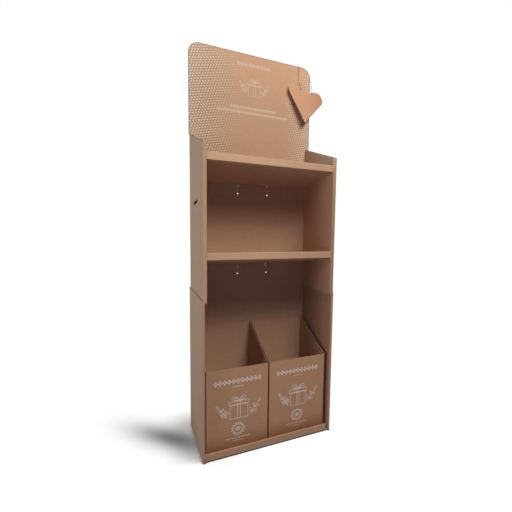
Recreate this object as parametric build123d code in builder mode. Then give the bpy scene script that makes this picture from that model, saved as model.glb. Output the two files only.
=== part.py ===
"""Free-standing corrugated cardboard display stand, in millimetres.

The stand is folded from brown corrugated board. Two C-shaped bodies with double side walls
telescope into each other, a base tray with a folded lip closes the bottom, and two shelves that
slope down to the back hook into the back panel. Two open bins stand in the tray, a header card
with rounded top corners stands behind the top shelf, and a card heart hangs from it on a cord.

Frame: the origin is at the middle of the footprint on the floor, +X is to the right as seen
from the front, the front faces -Y and +Z is up.
"""

import os
from math import atan2, cos, hypot, pi, radians, sin, tan

from build123d import *

os.makedirs("parts", exist_ok=True)

# Board, creases and clearances
board = 3.0  # corrugated board of the bodies, shelves, tray and header
crease = 0.5  # inner radius of a folded edge
slide = 0.5  # clearance between boards that slide past each other
touch = 0.3  # gap between a piece and what carries it
overrun = 6.0  # how far a cut runs past the board that it cuts
mid_fold = crease + board / 2  # radius of a fold at the middle of the board

# Overall sizes
width = 600.0
depth = 350.0
side_front_rise = 66.0  # the side walls' front ends stand this far above the top shelf's underside
side_back_rise = 80.0  # and they rise this much towards the back
header_rise = 416.0  # the header card's top above the side walls' highest point

# Posts and the joint between the two bodies
lower_post = 11.0  # width of the lower body's double wall
upper_post = 16.5  # width of the upper body's double wall
seam_height = 700.0  # height of the slanted seam at the outer face
seam_fall = 15.0  # the seam falls this much towards the inner face
lap = 60.0  # length of the walls that slide into the other body
lap_setback = 18.0  # distance of those walls behind the front

# Shelves
middle_shelf_rise = 165.0  # underside of the middle shelf at the front, above the seam
shelf_spacing = 401.0
lip_height = 31.0
lip_recess = 1.0  # the lip stands this far behind the front of the posts
lip_hollow = 1.5  # space between the two layers of the folded lip
shelf_slope = 9.8  # degrees that a shelf falls towards the back
shelf_tab_length = 50.0
shelf_tab_reach = 6.0  # how far a side tab reaches past the inner wall's visible face
shelf_tab_place = 158.0  # distance of the side tabs behind the front
shelf_tab_relief = 5.5  # radius of the finger hole under each side tab
hook_width = 140.0
hook_drop = 36.0
tab_play = 1.0

# Tongue cut in the back panel under each hook
tongue_width = 150.0
tongue_height = 45.0
tongue_gap = 0.8
tongue_corner = 12.0
relief_radius = 3.2
tongue_below_shelf = 3.5

# Slot in the left outer wall
side_slot_length = 108.0
side_slot_height = 13.0
side_slot_level = 1100.0
side_slot_back = 178.0  # distance of its centre behind the front
side_slot_slope = 7.0

# Header card
header_corner = 50.0
insert_corner = 12.0

# Base tray and its folded support
tray_lip_height = 33.0  # top of its front lip above the floor
tray_plate_height = 18.0  # top of its plate above the floor
tray_lift = 3.5  # the front lip ends this far above the floor
tray_recess = 4.0
tray_rear_gap = 6.0
tray_play = 8.0  # the tray is this much narrower than its space, and lies at the left of it
flange_gap = 1.0
support_margin = 24.0
support_pleats = 4
foot_share = 0.3  # share of a pleat's pitch that stands on the floor
rise_share = 0.1  # share of it that each slanted side takes

# Bins
bin_board = 2.0
bin_crease = 2.5
bin_front_height = 370.0
bin_back_height = 489.0
bin_front_setback = 24.0
bin_rear_gap = 3.0
bin_gap = 6.0
bin_gap_offset = 9.0  # the middle of that gap lies this far to the left of the stand's middle
left_bin_side_gap = 7.0
right_bin_side_gap = 17.0

# Card heart and its cord
heart_card = 2.0
heart_lobe = 54.0  # radius of a lobe
heart_offset_share = 0.85  # a lobe's centre from the middle, as a share of its radius
heart_level_share = 0.46  # a lobe's centre above the heart's centre, as a share of its radius
heart_tip_share = 2.04  # the tip below the heart's centre, as a share of a lobe's radius
heart_hole_offset = 33.0
heart_hole_height = 60.0
heart_bow = 1500.0  # radius of the card's bow
heart_inset = 32.0  # its centre from the header's right edge
heart_drop = 179.5  # its centre below the header's top edge
heart_stand_off = 22.2  # its centre in front of the header
heart_turn = 9.0  # degrees that its right side swings back
heart_lean = 12.0  # degrees that its tip swings forward
heart_roll = 9.0  # degrees that its right side hangs down
cord_diameter = 1.6
cord_hole_play = 0.6
knot_radius = 2.6
knot_length = 4.0
knot_round_share = 0.35

# Places that follow from the sizes above
middle_lip_base = seam_height + middle_shelf_rise
top_lip_base = middle_lip_base + shelf_spacing
side_top_front = top_lip_base + side_front_rise
side_top_back = side_top_front + side_back_rise
header_top = side_top_back + header_rise
seam_inner = seam_height - seam_fall
lower_half = width / 2
upper_half = lower_half - board - slide
lower_inner = lower_half - lower_post
upper_inner = lower_half - upper_post - board - slide
lower_cavity = lower_half - lower_post / 2
upper_cavity = (upper_half + upper_inner) / 2
upper_back = depth - board - slide  # outer face of the upper back panel
back_face = upper_back - board  # inner face of the upper back panel
inner_wall_end = back_face - touch


def body_plan(half, inner_face, back):
    """Plan of a body's board: inner walls, posts, outer walls and back panel in one strip."""
    outer = half - board / 2
    inner = inner_face + board / 2
    near = board / 2
    far = back - board / 2
    FilletPolyline(
        (-inner, inner_wall_end),
        (-inner, near),
        (-outer, near),
        (-outer, far),
        (outer, far),
        (outer, near),
        (inner, near),
        (inner, inner_wall_end),
        radius=mid_fold,
    )


def shelf_underside(lip_base, y):
    """Height of a shelf's underside at a distance behind the front."""
    return lip_base - (y - lip_recess) * tan(radians(shelf_slope))


board_rise = board / cos(radians(shelf_slope))  # a sloping board's thickness, measured upright

# Work planes through the middle of the front edge: y, or the side plane's x, is measured back
floor = Plane(origin=(0, -depth / 2, 0))
front = Plane(origin=(0, -depth / 2, 0), x_dir=(1, 0, 0), z_dir=(0, -1, 0))
side = Plane(origin=(0, -depth / 2, 0), x_dir=(0, 1, 0), z_dir=(1, 0, 0))

# Lower body
with BuildPart() as lower_body:
    with BuildSketch(floor):
        with BuildLine() as strip:
            body_plan(lower_half, lower_inner, depth)
        trace(strip.line, line_width=board)
    extrude(amount=seam_height + lap)
    # The outer walls and the back end at the seam, the inner walls run on into the upper body
    with BuildSketch(floor.offset(seam_height)):
        with Locations((0, depth / 2)):
            Rectangle(width + overrun, depth + overrun)
        with Locations((0, (inner_wall_end + touch / 2 - overrun) / 2)):
            Rectangle(2 * lower_cavity, inner_wall_end + touch / 2 + overrun, mode=Mode.SUBTRACT)
    extrude(amount=lap + overrun, mode=Mode.SUBTRACT)
    # Slanted upper end of the front posts
    with BuildSketch(front.offset(overrun)):
        with BuildLine():
            Polyline(
                (lower_half, seam_height),
                (upper_inner, seam_inner),
                (upper_inner, seam_height + lap + overrun),
                (lower_half, seam_height + lap + overrun),
                close=True,
            )
        make_face()
        mirror(about=Plane.YZ)
    extrude(amount=-(overrun + lap_setback), mode=Mode.SUBTRACT)
lower_body.part.label = "lower_body"
export_step(lower_body.part, "parts/lower_body.step")


def tongue_outline(lip_base, spread):
    """The outline of a back panel's locking tongue, widened by the width of its cut."""
    top = shelf_underside(lip_base, upper_back) - tongue_below_shelf + spread
    bottom = top - spread - tongue_height
    half = tongue_width / 2 - tongue_gap / 2 + spread
    start = Line((-half, bottom), (-half, top - tongue_corner))
    left = RadiusArc(start @ 1, (-half + tongue_corner, top), tongue_corner)
    level = Line(left @ 1, (half - tongue_corner, top))
    right = RadiusArc(level @ 1, (half, top - tongue_corner), tongue_corner)
    down = Line(right @ 1, (half, bottom))
    Line(down @ 1, start @ 0)


# Upper body
with BuildPart() as upper_body:
    bottom = seam_height - lap
    with BuildSketch(floor.offset(bottom)):
        with BuildLine() as strip:
            body_plan(upper_half, upper_inner, upper_back)
        trace(strip.line, line_width=board)
    extrude(amount=side_top_back - bottom)
    # Side walls that rise towards the back
    with BuildSketch(side.offset(-width / 2)):
        with BuildLine():
            Polyline(
                (0, side_top_front),
                (upper_back, side_top_back),
                (0, side_top_back + overrun),
                close=True,
            )
        make_face()
    extrude(amount=width, mode=Mode.SUBTRACT)
    # The inner walls end at the seam, the outer walls and the back run down into the lower body
    with BuildSketch(floor.offset(bottom - overrun)):
        with Locations((0, (back_face - touch / 2 - overrun) / 2)):
            Rectangle(2 * upper_cavity, back_face - touch / 2 + overrun)
    extrude(amount=seam_inner - bottom + overrun, mode=Mode.SUBTRACT)
    # Slanted lower end of the front posts
    with BuildSketch(front.offset(overrun)):
        with BuildLine():
            Polyline(
                (lower_half, seam_height + touch),
                (upper_inner, seam_inner + touch),
                (upper_inner, bottom - overrun),
                (lower_half, bottom - overrun),
                close=True,
            )
        make_face()
        mirror(about=Plane.YZ)
    extrude(amount=-(overrun + lap_setback), mode=Mode.SUBTRACT)
    for lip_base in (middle_lip_base, top_lip_base):
        # Locking tongue with round relief holes at its lower ends, and the hook's window above it
        tongue_top = shelf_underside(lip_base, upper_back) - tongue_below_shelf
        window_top = shelf_underside(lip_base, back_face) + board_rise + tab_play
        with BuildSketch(front.offset(-back_face + overrun / 2)):
            with BuildLine():
                tongue_outline(lip_base, tongue_gap)
            make_face()
            with BuildLine():
                tongue_outline(lip_base, 0)
            make_face(mode=Mode.SUBTRACT)
            with Locations((0, (tongue_top + window_top) / 2)):
                Rectangle(hook_width + 2 * tab_play, window_top - tongue_top)
            with Locations(
                (-tongue_width / 2, tongue_top - tongue_height),
                (tongue_width / 2, tongue_top - tongue_height),
            ):
                Circle(relief_radius)
        extrude(amount=-(board + overrun), mode=Mode.SUBTRACT)
        # Slots of the shelf's side tabs with a finger hole below, in the inner walls
        underside = shelf_underside(lip_base, shelf_tab_place)
        for wall_plane, reach in (
            (side.offset(upper_inner - overrun / 2), board + overrun),
            (side.offset(-upper_inner + overrun / 2), -(board + overrun)),
        ):
            with BuildSketch(wall_plane):
                with Locations(Location((shelf_tab_place, underside + board_rise / 2), -shelf_slope)):
                    Rectangle(shelf_tab_length + 2 * tab_play, board + 2 * slide)
                with Locations((shelf_tab_place, underside)):
                    Circle(shelf_tab_relief)
            extrude(amount=reach, mode=Mode.SUBTRACT)
    # Slot in the left outer wall
    with BuildSketch(side.offset(-upper_half - overrun / 2)):
        with Locations(Location((side_slot_back, side_slot_level), -side_slot_slope)):
            SlotOverall(side_slot_length, side_slot_height)
    extrude(amount=board + overrun, mode=Mode.SUBTRACT)
upper_body.part.label = "upper_body"
export_step(upper_body.part, "parts/upper_body.step")

# Shelves, each folded from one blank
shelf_half = upper_inner - slide
lip_front = lip_recess + board / 2
lip_back = lip_front + board + lip_hollow
for name, lip_base in (("middle_shelf", middle_lip_base), ("top_shelf", top_lip_base)):
    with BuildPart() as shelf:
        lip_top = lip_base + lip_height - board / 2
        plate_rear = back_face - touch
        hook_line = upper_back + touch + board / 2
        with BuildSketch(side.offset(-shelf_half)):
            with BuildLine() as fold:
                FilletPolyline(
                    (lip_back, shelf_underside(lip_base, lip_back) + board_rise + touch),
                    (lip_back, lip_top),
                    (lip_front, lip_top),
                    (lip_front, shelf_underside(lip_base, lip_front) + board_rise / 2),
                    (plate_rear, shelf_underside(lip_base, plate_rear) + board_rise / 2),
                    radius=mid_fold,
                )
            trace(fold.line, line_width=board)
        extrude(amount=2 * shelf_half)
        # Hook at the back, which passes through the back panel and turns down behind it
        with BuildSketch(side.offset(-hook_width / 2)):
            with BuildLine() as fold:
                FilletPolyline(
                    (depth / 2, shelf_underside(lip_base, depth / 2) + board_rise / 2),
                    (hook_line, shelf_underside(lip_base, hook_line) + board_rise / 2),
                    (hook_line, shelf_underside(lip_base, hook_line) - hook_drop),
                    radius=mid_fold,
                )
            trace(fold.line, line_width=board)
        extrude(amount=hook_width)
        # Side tabs
        tab_half = upper_inner + shelf_tab_reach
        tab_level = shelf_underside(lip_base, shelf_tab_place) + board_rise / 2
        with BuildSketch(side.offset(-tab_half)):
            with Locations(Location((shelf_tab_place, tab_level), -shelf_slope)):
                Rectangle(shelf_tab_length, board)
        extrude(amount=2 * tab_half)
    shelf.part.label = name
    export_step(shelf.part, f"parts/{name}.step")

# Header card, with shoulders on the side walls and an insert in front of the back panel
header_back = back_face - touch
header_front = header_back - board
side_slope = (side_top_back - side_top_front) / upper_back
shoulder = side_top_front + side_slope * header_back + touch
insert_bottom = shelf_underside(top_lip_base, header_front) + board_rise + touch
insert_half = upper_inner - slide
with BuildPart() as header_card:
    with BuildSketch(front.offset(-header_back)):
        with Locations((0, (shoulder + header_top) / 2)):
            Rectangle(width, header_top - shoulder)
        with Locations((0, (insert_bottom + shoulder + board) / 2)):
            Rectangle(2 * insert_half, shoulder + board - insert_bottom)
    extrude(amount=board)
    corners = header_card.edges().filter_by(Axis.Y).group_by(Axis.Z)
    fillet(corners[-1], radius=header_corner)
    corners = header_card.edges().filter_by(Axis.Y).group_by(Axis.Z)
    fillet(corners[0], radius=insert_corner)
header_card.part.label = "header_card"
export_step(header_card.part, "parts/header_card.step")

# Base tray with a double lip at its front, its rear and side flanges on the floor
tray_left = -lower_inner + touch
tray_right = lower_inner - touch - tray_play
tray_width = tray_right - tray_left
tray_middle = (tray_left + tray_right) / 2
tray_front = tray_recess + board / 2
tray_lip_back = tray_front + board + lip_hollow
tray_rear = depth - board - tray_rear_gap - board / 2
tray_level = tray_plate_height - board / 2
with BuildPart() as base_tray:
    with BuildSketch(side.offset(tray_left)):
        with BuildLine() as fold:
            FilletPolyline(
                (tray_front, tray_lift),
                (tray_front, tray_lip_height - board / 2),
                (tray_lip_back, tray_lip_height - board / 2),
                (tray_lip_back, tray_level),
                (tray_rear, tray_level),
                (tray_rear, 0),
                radius=mid_fold,
            )
        trace(fold.line, line_width=board)
    extrude(amount=tray_width)
    flange_left = tray_left + board / 2
    flange_right = tray_right - board / 2
    flange_length = tray_rear - tray_lip_back - board - 2 * flange_gap
    with BuildSketch(front.offset(-tray_lip_back - board / 2 - flange_gap)):
        with BuildLine() as fold:
            FilletPolyline(
                (flange_left, 0),
                (flange_left, tray_level),
                (flange_right, tray_level),
                (flange_right, 0),
                radius=mid_fold,
            )
        trace(fold.line, line_width=board)
    extrude(amount=-flange_length)
base_tray.part.label = "base_tray"
export_step(base_tray.part, "parts/base_tray.step")

# Pleated board that carries the tray's plate
support_top = tray_plate_height - board - touch - board / 2
support_length = tray_rear - tray_lip_back - 2 * support_margin
support_width = flange_right - flange_left - 2 * support_margin
support_pitch = support_width / (support_pleats + foot_share)
with BuildPart() as base_support:
    start = tray_middle - support_width / 2
    points = [(start, board / 2)]
    for pleat in range(support_pleats):
        left = start + (pleat + foot_share) * support_pitch
        points.append((left, board / 2))
        points.append((left + rise_share * support_pitch, support_top))
        points.append((left + (1 - foot_share - rise_share) * support_pitch, support_top))
        points.append((left + (1 - foot_share) * support_pitch, board / 2))
    points.append((start + support_width, board / 2))
    with BuildSketch(front.offset(-tray_lip_back - support_margin)):
        with BuildLine() as fold:
            FilletPolyline(points, radius=mid_fold)
        trace(fold.line, line_width=board)
    extrude(amount=-support_length)
base_support.part.label = "base_support"
export_step(base_support.part, "parts/base_support.step")

# Bins that stand in the tray
bin_base = tray_plate_height + touch
bin_rear = back_face - bin_rear_gap
bin_depth = bin_rear - bin_front_setback
bin_places = (
    ("left_bin", -lower_inner + left_bin_side_gap, -bin_gap_offset - bin_gap / 2),
    ("right_bin", -bin_gap_offset + bin_gap / 2, lower_inner - right_bin_side_gap),
)
for name, left, right in bin_places:
    bin_middle = ((left + right) / 2, (bin_front_setback + bin_rear) / 2)
    with BuildPart() as bin_box:
        with BuildSketch(floor.offset(bin_base)):
            with Locations(bin_middle):
                RectangleRounded(right - left, bin_depth, bin_crease)
        extrude(amount=bin_back_height)
        with BuildSketch(floor.offset(bin_base + bin_board)):
            with Locations(bin_middle):
                inside = (right - left - 2 * bin_board, bin_depth - 2 * bin_board)
                RectangleRounded(*inside, bin_crease - bin_board)
        extrude(amount=bin_back_height, mode=Mode.SUBTRACT)
        with BuildSketch(side.offset(left - overrun)):
            with BuildLine():
                Polyline(
                    (bin_front_setback - overrun, bin_base + bin_front_height),
                    (bin_front_setback + bin_board, bin_base + bin_front_height),
                    (bin_rear - bin_board, bin_base + bin_back_height),
                    (bin_rear - bin_board, bin_base + bin_back_height + overrun),
                    (bin_front_setback - overrun, bin_base + bin_back_height + overrun),
                    close=True,
                )
            make_face()
        extrude(amount=right - left + 2 * overrun, mode=Mode.SUBTRACT)
    bin_box.part.label = name
    export_step(bin_box.part, f"parts/{name}.step")

# Heart of bowed card, hung in front of the header's right edge
turn = radians(heart_turn)
lean = radians(heart_lean)
roll = radians(heart_roll)
heart_centre = (
    width / 2 - heart_inset,
    header_front - heart_stand_off - depth / 2,
    header_top - heart_drop,
)
heart_lobe_offset = heart_lobe * heart_offset_share
heart_lobe_height = heart_lobe * heart_level_share
heart_tip_drop = heart_lobe * heart_tip_share
across_flat = Vector(cos(turn), sin(turn), 0)
up_flat = Vector(-sin(turn) * sin(lean), cos(turn) * sin(lean), cos(lean))
across = across_flat * cos(roll) - up_flat * sin(roll)
upward = up_flat * cos(roll) + across_flat * sin(roll)
heart_plane = Plane(origin=heart_centre, x_dir=across, z_dir=across.cross(upward))
section_plane = Plane(origin=heart_centre, x_dir=across, z_dir=upward)
cleft = heart_lobe_height + (heart_lobe**2 - heart_lobe_offset**2) ** 0.5
tip_reach = hypot(heart_lobe_offset, heart_lobe_height + heart_tip_drop)
tip_angle = atan2(heart_lobe_height + heart_tip_drop, heart_lobe_offset)
tangent_length = (tip_reach**2 - heart_lobe**2) ** 0.5
side_angle = tip_angle - atan2(heart_lobe, tangent_length)
tangent_x = tangent_length * cos(side_angle)
tangent_y = -heart_tip_drop + tangent_length * sin(side_angle)
heart_hole = cord_diameter + cord_hole_play
with BuildPart() as heart:
    with BuildSketch(heart_plane):
        with BuildLine():
            Polyline(
                (0, -heart_tip_drop),
                (tangent_x, tangent_y),
                (heart_lobe_offset, heart_lobe_height),
                (0, cleft),
                (-heart_lobe_offset, heart_lobe_height),
                (-tangent_x, tangent_y),
                close=True,
            )
        make_face()
        with Locations((-heart_lobe_offset, heart_lobe_height), (heart_lobe_offset, heart_lobe_height)):
            Circle(heart_lobe)
        with Locations((-heart_hole_offset, heart_hole_height), (heart_hole_offset, heart_hole_height)):
            Circle(heart_hole / 2, mode=Mode.SUBTRACT)
    extrude(amount=heart_lobe, both=True)
    with BuildSketch(section_plane):
        with Locations((0, heart_bow)):
            Circle(heart_bow)
            Circle(heart_bow - heart_card, mode=Mode.SUBTRACT)
    extrude(amount=2 * heart_tip_drop, both=True, mode=Mode.INTERSECT)
heart.part.label = "heart"
export_step(heart.part, "parts/heart.step")

# Cord of the heart: in front of the left hole, over the header's top edge, down behind its
# corner, round its right edge and in front of the right hole. The last point of each end lies
# behind the card, where a stopper knot holds it.
cord_route = (
    (242.5, 155.2, 1710.9),
    (243.4, 149.9, 1712.1),
    (240.5, 151.9, 1720.5),
    (235.5, 153.3, 1734.0),
    (232.0, 155.5, 1755.0),
    (231.0, 157.6, 1780.0),
    (231.5, 159.8, 1804.0),
    (233.0, 161.6, 1819.5),
    (234.0, 162.0, 1831.4),
    (234.6, 171.6, 1831.3),
    (239.0, 171.8, 1822.0),
    (251.0, 171.5, 1811.5),
    (269.0, 172.0, 1796.0),
    (287.0, 171.6, 1782.0),
    (297.5, 171.9, 1773.0),
    (303.5, 171.4, 1767.5),
    (303.7, 162.2, 1763.5),
    (305.0, 161.2, 1751.0),
    (306.8, 160.6, 1736.5),
    (307.7, 160.0, 1723.0),
    (307.9, 158.2, 1711.0),
    (308.2, 157.8, 1702.1),
    (307.3, 163.1, 1700.9),
)
bend_share = 0.45


def bend_radii(route):
    """The largest radius that each corner's two runs leave room for."""
    radii = []
    for before, corner, after in zip(route, route[1:], route[2:]):
        run_in = Vector(*corner) - Vector(*before)
        run_out = Vector(*after) - Vector(*corner)
        half_turn = radians(run_in.get_angle(run_out)) / 2
        radii.append(bend_share * min(run_in.length, run_out.length) / tan(half_turn))
    return radii


cord_radii = bend_radii(cord_route)
with BuildPart() as heart_cord:
    with BuildLine() as route:
        FilletPolyline(cord_route, radius=cord_radii)
    with BuildSketch(Plane(origin=route.line @ 0, z_dir=route.line % 0)):
        Circle(cord_diameter / 2)
    sweep(path=route.line)
heart_cord.part.label = "heart_cord"
export_step(heart_cord.part, "parts/heart_cord.step")
cord_length = sum(edge.length for edge in route.edges())
cord_section = pi * cord_diameter**2 / 4
print("cord bends", [round(radius, 1) for radius in cord_radii])
print("cord length", round(cord_length, 1), "volume", round(heart_cord.part.volume, 1))
print("section times length", round(cord_section * cord_length, 1))

# Stopper knots behind the heart, flat where they bear on the card
cord_ends = (
    Plane(origin=cord_route[0], z_dir=Vector(*cord_route[0]) - Vector(*cord_route[1])),
    Plane(origin=cord_route[-1], z_dir=Vector(*cord_route[-1]) - Vector(*cord_route[-2])),
)
with BuildPart() as cord_knots:
    for end in cord_ends:
        with BuildSketch(end):
            Circle(knot_radius)
        extrude(amount=knot_length)
    rims = cord_knots.faces().filter_by(GeomType.CYLINDER).edges().filter_by(GeomType.CIRCLE)
    fillet(rims, radius=knot_length * knot_round_share)
cord_knots.part.label = "cord_knots"
export_step(cord_knots.part, "parts/cord_knots.step")
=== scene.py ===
"""Looks of the free-standing cardboard display stand, in metres, in the frame of its solids."""

from math import ceil, cos, pi, radians, sin, tau

import bmesh
import bpy
from mathutils import Matrix, Vector
from mathutils.geometry import delaunay_2d_cdt


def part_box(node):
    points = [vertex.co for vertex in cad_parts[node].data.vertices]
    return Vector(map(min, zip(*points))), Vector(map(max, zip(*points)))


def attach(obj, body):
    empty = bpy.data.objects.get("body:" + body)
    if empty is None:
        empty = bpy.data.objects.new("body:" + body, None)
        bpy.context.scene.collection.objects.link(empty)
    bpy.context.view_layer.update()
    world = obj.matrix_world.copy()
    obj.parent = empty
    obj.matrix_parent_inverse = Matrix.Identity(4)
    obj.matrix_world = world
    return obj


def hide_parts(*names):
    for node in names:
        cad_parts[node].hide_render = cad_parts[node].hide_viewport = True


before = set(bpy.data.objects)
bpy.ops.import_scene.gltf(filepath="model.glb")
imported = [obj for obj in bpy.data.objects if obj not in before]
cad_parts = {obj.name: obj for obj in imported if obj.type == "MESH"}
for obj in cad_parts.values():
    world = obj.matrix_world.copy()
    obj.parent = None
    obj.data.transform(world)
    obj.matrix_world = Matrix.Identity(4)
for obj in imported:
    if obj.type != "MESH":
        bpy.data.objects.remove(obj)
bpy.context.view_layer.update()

BODY = "root"

# Board and print
BOARD = 0.003
BIN_BOARD = 0.002
LOWER_WALL = 0.011  # thickness of the double side walls
UPPER_WALL = 0.0165
FLUTE_PITCH = 0.0065
INK_LIFT = 0.0001  # the print stands this far out of the board
INK_THICKNESS = 0.00008
INK_STEP = 0.000012  # between shapes that cross, so that no two faces lie in one plane
INK_LEVELS = 7

# Places read from the solids
HEADER_LOW, HEADER_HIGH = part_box("header_card")
LOWER_LOW, LOWER_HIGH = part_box("lower_body")
UPPER_LOW, UPPER_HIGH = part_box("upper_body")
HEADER_HALF = (HEADER_HIGH.x - HEADER_LOW.x) / 2
BIN_FRONT_HEIGHT = 0.370


def linear(*values):
    """A colour given as display values from 11 to 255, as the linear colour that a shader takes."""
    return (*(((value / 255 + 0.055) / 1.055) ** 2.4 for value in values), 1.0)


def new_object(name, data):
    made = bpy.data.objects.new(name, data)
    bpy.context.scene.collection.objects.link(made)
    return made


# Camera at the photograph's viewpoint
CAMERA_PLACE = Vector((-0.56218, -1.80372, 1.05374))
CAMERA_YAW = 0.53300  # radians to the right of straight back
CAMERA_PITCH = 0.10344  # radians down
CAMERA_ROLL = 0.03590
FOCAL_PIXELS = 386.775
CENTRE_PIXELS = (352.448, 258.967)
PICTURE_PIXELS = 512
SENSOR = 36.0


def make_camera():
    """The camera, with a sideways shift because the stand isn't in the middle of its view."""
    reach = cos(CAMERA_PITCH)
    forward = Vector((sin(CAMERA_YAW) * reach, cos(CAMERA_YAW) * reach, -sin(CAMERA_PITCH)))
    level = Vector((cos(CAMERA_YAW), -sin(CAMERA_YAW), 0))
    upright = level.cross(forward)
    right = cos(CAMERA_ROLL) * level + sin(CAMERA_ROLL) * upright
    up = cos(CAMERA_ROLL) * upright - sin(CAMERA_ROLL) * level
    data = bpy.data.cameras.new("camera")
    data.sensor_width = SENSOR
    data.lens = FOCAL_PIXELS / PICTURE_PIXELS * SENSOR
    data.shift_x = (PICTURE_PIXELS / 2 - CENTRE_PIXELS[0]) / PICTURE_PIXELS
    data.shift_y = (CENTRE_PIXELS[1] - PICTURE_PIXELS / 2) / PICTURE_PIXELS
    camera = new_object("camera", data)
    turn = Matrix((right, up, -forward)).transposed().to_4x4()
    camera.matrix_world = Matrix.Translation(CAMERA_PLACE) @ turn
    bpy.context.scene.camera = camera


EDGE_SAMPLES = 6
EDGE_TURN = (0.99, 0.8)  # how far the rounded facing may lean from the true one, as a cosine


class Nodes:
    """The nodes of one tree. Numbers, colours and sockets go into them by their inputs."""

    def __init__(self, tree):
        self.tree = tree
        tree.nodes.clear()

    def node(self, kind, inputs=None, **settings):
        node = self.tree.nodes.new("ShaderNode" + kind)
        for key, value in settings.items():
            setattr(node, key, value)
        for socket, value in (inputs or {}).items():
            self.feed(node.inputs[socket], value)
        return node

    def feed(self, socket, value):
        if isinstance(value, bpy.types.NodeSocket):
            self.tree.links.new(value, socket)
        else:
            socket.default_value = value

    def math(self, operation, *values, clamp=False):
        inputs = dict(enumerate(values))
        return self.node("Math", inputs, operation=operation, use_clamp=clamp).outputs[0]

    def chain(self, operation, values):
        total, *others = values
        for value in others:
            total = self.math(operation, total, value)
        return total

    def add(self, *values):
        return self.chain("ADD", values)

    def times(self, *values):
        return self.chain("MULTIPLY", values)

    def minus(self, first, second):
        return self.math("SUBTRACT", first, second)

    def absolute(self, value):
        return self.math("ABSOLUTE", value)

    def above(self, value, limit):
        """1 where the value is above the limit, and 0 elsewhere."""
        return self.math("GREATER_THAN", value, limit)

    def below(self, value, limit):
        return self.math("LESS_THAN", value, limit)

    def choose(self, share, zero, one):
        """The first number where the share is 0, and the second where it is 1."""
        return self.math("MULTIPLY_ADD", self.minus(one, zero), share, zero)


class Look(Nodes):
    """The nodes of one material, with the place and the facing of its surface."""

    def __init__(self, name):
        self.material = bpy.data.materials.new(name)
        self.material.use_nodes = True
        super().__init__(self.material.node_tree)
        self.place = self.node("TexCoord").outputs["Object"]
        self.x, self.y, self.z = self.split(self.place)
        self.facing = self.node("NewGeometry").outputs["True Normal"]
        self.facing_x, self.facing_y, self.facing_z = self.split(self.facing)

    def split(self, vector):
        return self.node("SeparateXYZ", {0: vector}).outputs

    def faces_front(self):
        return self.below(self.facing_y, -0.5)

    def stretch(self, sizes):
        """The place with each axis divided by a size of its own, so that one unit is that size."""
        inputs = {0: self.place, 1: sizes}
        return self.node("VectorMath", inputs, operation="DIVIDE").outputs[0]

    def noise(self, sizes, detail=2.0, roughness=0.5, distortion=0.0):
        """Cloudy noise from 0 to 1 with blots of the given sizes along the three axes."""
        inputs = {"Vector": self.stretch(sizes), "Scale": 1.0, "Detail": detail}
        inputs |= {"Roughness": roughness, "Distortion": distortion}
        return self.node("TexNoise", inputs).outputs["Fac"]

    def cells(self, sizes):
        """Distance to the nearest of scattered points, and a random colour for each point."""
        node = self.node("TexVoronoi", {"Vector": self.stretch(sizes), "Scale": 1.0})
        return node.outputs["Distance"], node.outputs["Color"]

    def ramp(self, value, low, high, to_low=0.0, to_high=1.0):
        """Smoothly from one number to another while the value goes from low to high."""
        inputs = {"Value": value, "From Min": low, "From Max": high, "To Min": to_low, "To Max": to_high}
        node = self.node("MapRange", inputs, interpolation_type="SMOOTHSTEP", clamp=True)
        return node.outputs["Result"]

    def turn(self, x, y, angle):
        """The places along a direction that is turned by the angle, and across it."""
        along = self.add(self.times(x, cos(angle)), self.times(y, sin(angle)))
        return along, self.add(self.times(y, cos(angle)), self.times(x, -sin(angle)))

    def spread(self, value, amount):
        """Noise from 0 to 1 as a swing of plus or minus the amount."""
        return self.math("MULTIPLY_ADD", value, 2 * amount, -amount)

    def mix(self, share, first, second, blend="MIX"):
        inputs = {"Factor": share, 6: first, 7: second}
        return self.node("Mix", inputs, data_type="RGBA", blend_type=blend).outputs[2]

    def scale(self, colour, factor):
        inputs = {0: colour, "Scale": factor}
        return self.node("VectorMath", inputs, operation="SCALE").outputs[0]

    def edge_band(self, radius):
        """1 along the edges of the solid and 0 away from them."""
        bevel = self.node("Bevel", {"Radius": radius}, samples=EDGE_SAMPLES)
        inputs = {0: bevel.outputs[0], 1: self.facing}
        dot = self.node("VectorMath", inputs, operation="DOT_PRODUCT")
        return self.ramp(dot.outputs["Value"], *EDGE_TURN)

    def finish(self, colour, roughness, height, specular, sheen=0.0):
        """Ends the material in one rough surface whose relief is height, in metres."""
        bump = self.node("Bump", {"Strength": 1.0, "Distance": 1.0, "Height": height})
        inputs = {"Base Color": colour, "Roughness": roughness, "Normal": bump.outputs[0]}
        inputs |= {"Specular IOR Level": specular, "Sheen Weight": sheen}
        return self.end(self.node("BsdfPrincipled", inputs))

    def end(self, surface):
        self.node("OutputMaterial", {"Surface": surface.outputs[0]})
        return self.material


# Light and dark of each board
KRAFT = (linear(188, 151, 120), linear(177, 140, 109))
TRAY_KRAFT = (linear(197, 158, 127), linear(187, 148, 116))
HEADER_KRAFT = (linear(190, 151, 120), linear(180, 141, 110))
BIN_KRAFT = (linear(187, 147, 114), linear(176, 135, 103))
SUPPORT_KRAFT = (KRAFT[1], BIN_KRAFT[1])
CARD = (linear(198, 151, 118), linear(190, 142, 110))
TWINE = (linear(128, 108, 86), linear(80, 64, 48))

# Painted shade on the right side of the heart
CARD_PAINTED_SHADE = linear(178, 128, 98)
LINER_EDGE = linear(216, 180, 146)
FLUTE_SHADE = linear(96, 66, 46)
FLECK = linear(120, 84, 58)
PALE_FLECK = linear(228, 200, 168)
WHITE_INK = linear(240, 230, 218)
DOT_INK = linear(234, 227, 214)
RIM_LINE = linear(112, 90, 76)

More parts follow.
